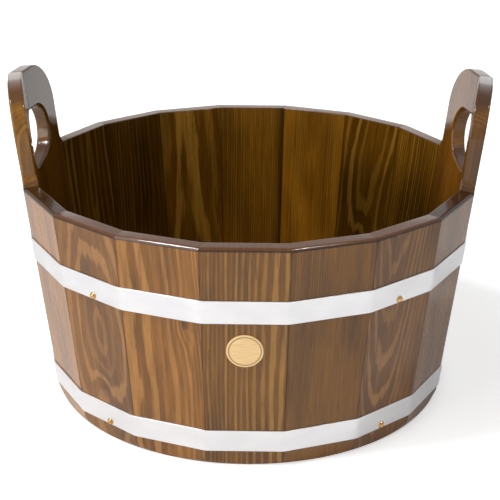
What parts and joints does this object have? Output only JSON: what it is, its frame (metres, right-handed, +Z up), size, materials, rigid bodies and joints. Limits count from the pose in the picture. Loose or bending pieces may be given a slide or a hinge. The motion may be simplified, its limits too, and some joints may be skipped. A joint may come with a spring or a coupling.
{
  "type": "wooden wash tub",
  "caption": "Low coopered wash tub of flat stained staves with flared sides, flat metal bands, a boarded bottom and a raised grip with a hand hole on each side",
  "frame": {"origin": "on the floor, under the middle of the tub, at the bottom centre of the bounding box", "axes": "+Z up; the front with the small disc faces -Y; the grips stand at +X (right) and -X (left)"},
  "size_m": [0.4174, 0.3932, 0.2799],
  "materials": {
    "stave_wood": "brown stained pine under gloss varnish",
    "bottom_wood": "brown stained pine under gloss varnish",
    "dowel_wood": "plain beech, glued in",
    "band_metal": "bright satin strip",
    "nail_brass": "polished domed head",
    "disc_wood": "pale bare wood, plain"
  },
  "bodies": {
    "root": {"stave_01": "stave_wood", "stave_02": "stave_wood", "stave_03": "stave_wood", "stave_04": "stave_wood", "stave_05": "stave_wood", "stave_06": "stave_wood", "stave_07": "stave_wood", "stave_08": "stave_wood", "stave_09": "stave_wood", "stave_10": "stave_wood", "stave_11": "stave_wood", "stave_12": "stave_wood", "stave_13": "stave_wood", "stave_14": "stave_wood", "right_grip_front": "stave_wood", "right_grip_back": "stave_wood", "left_grip_back": "stave_wood", "left_grip_front": "stave_wood", "bottom_board_1": "bottom_wood", "bottom_board_2": "bottom_wood", "bottom_board_3": "bottom_wood", "bottom_board_4": "bottom_wood", "bottom_board_5": "bottom_wood", "stave_dowels": "dowel_wood", "bottom_dowels": "dowel_wood", "upper_band": "band_metal", "lower_band": "band_metal", "upper_band_rivets": "band_metal", "lower_band_rivets": "band_metal", "upper_band_nails": "nail_brass", "lower_band_nails": "nail_brass", "front_disc": "disc_wood"}
  },
  "joints": []
}
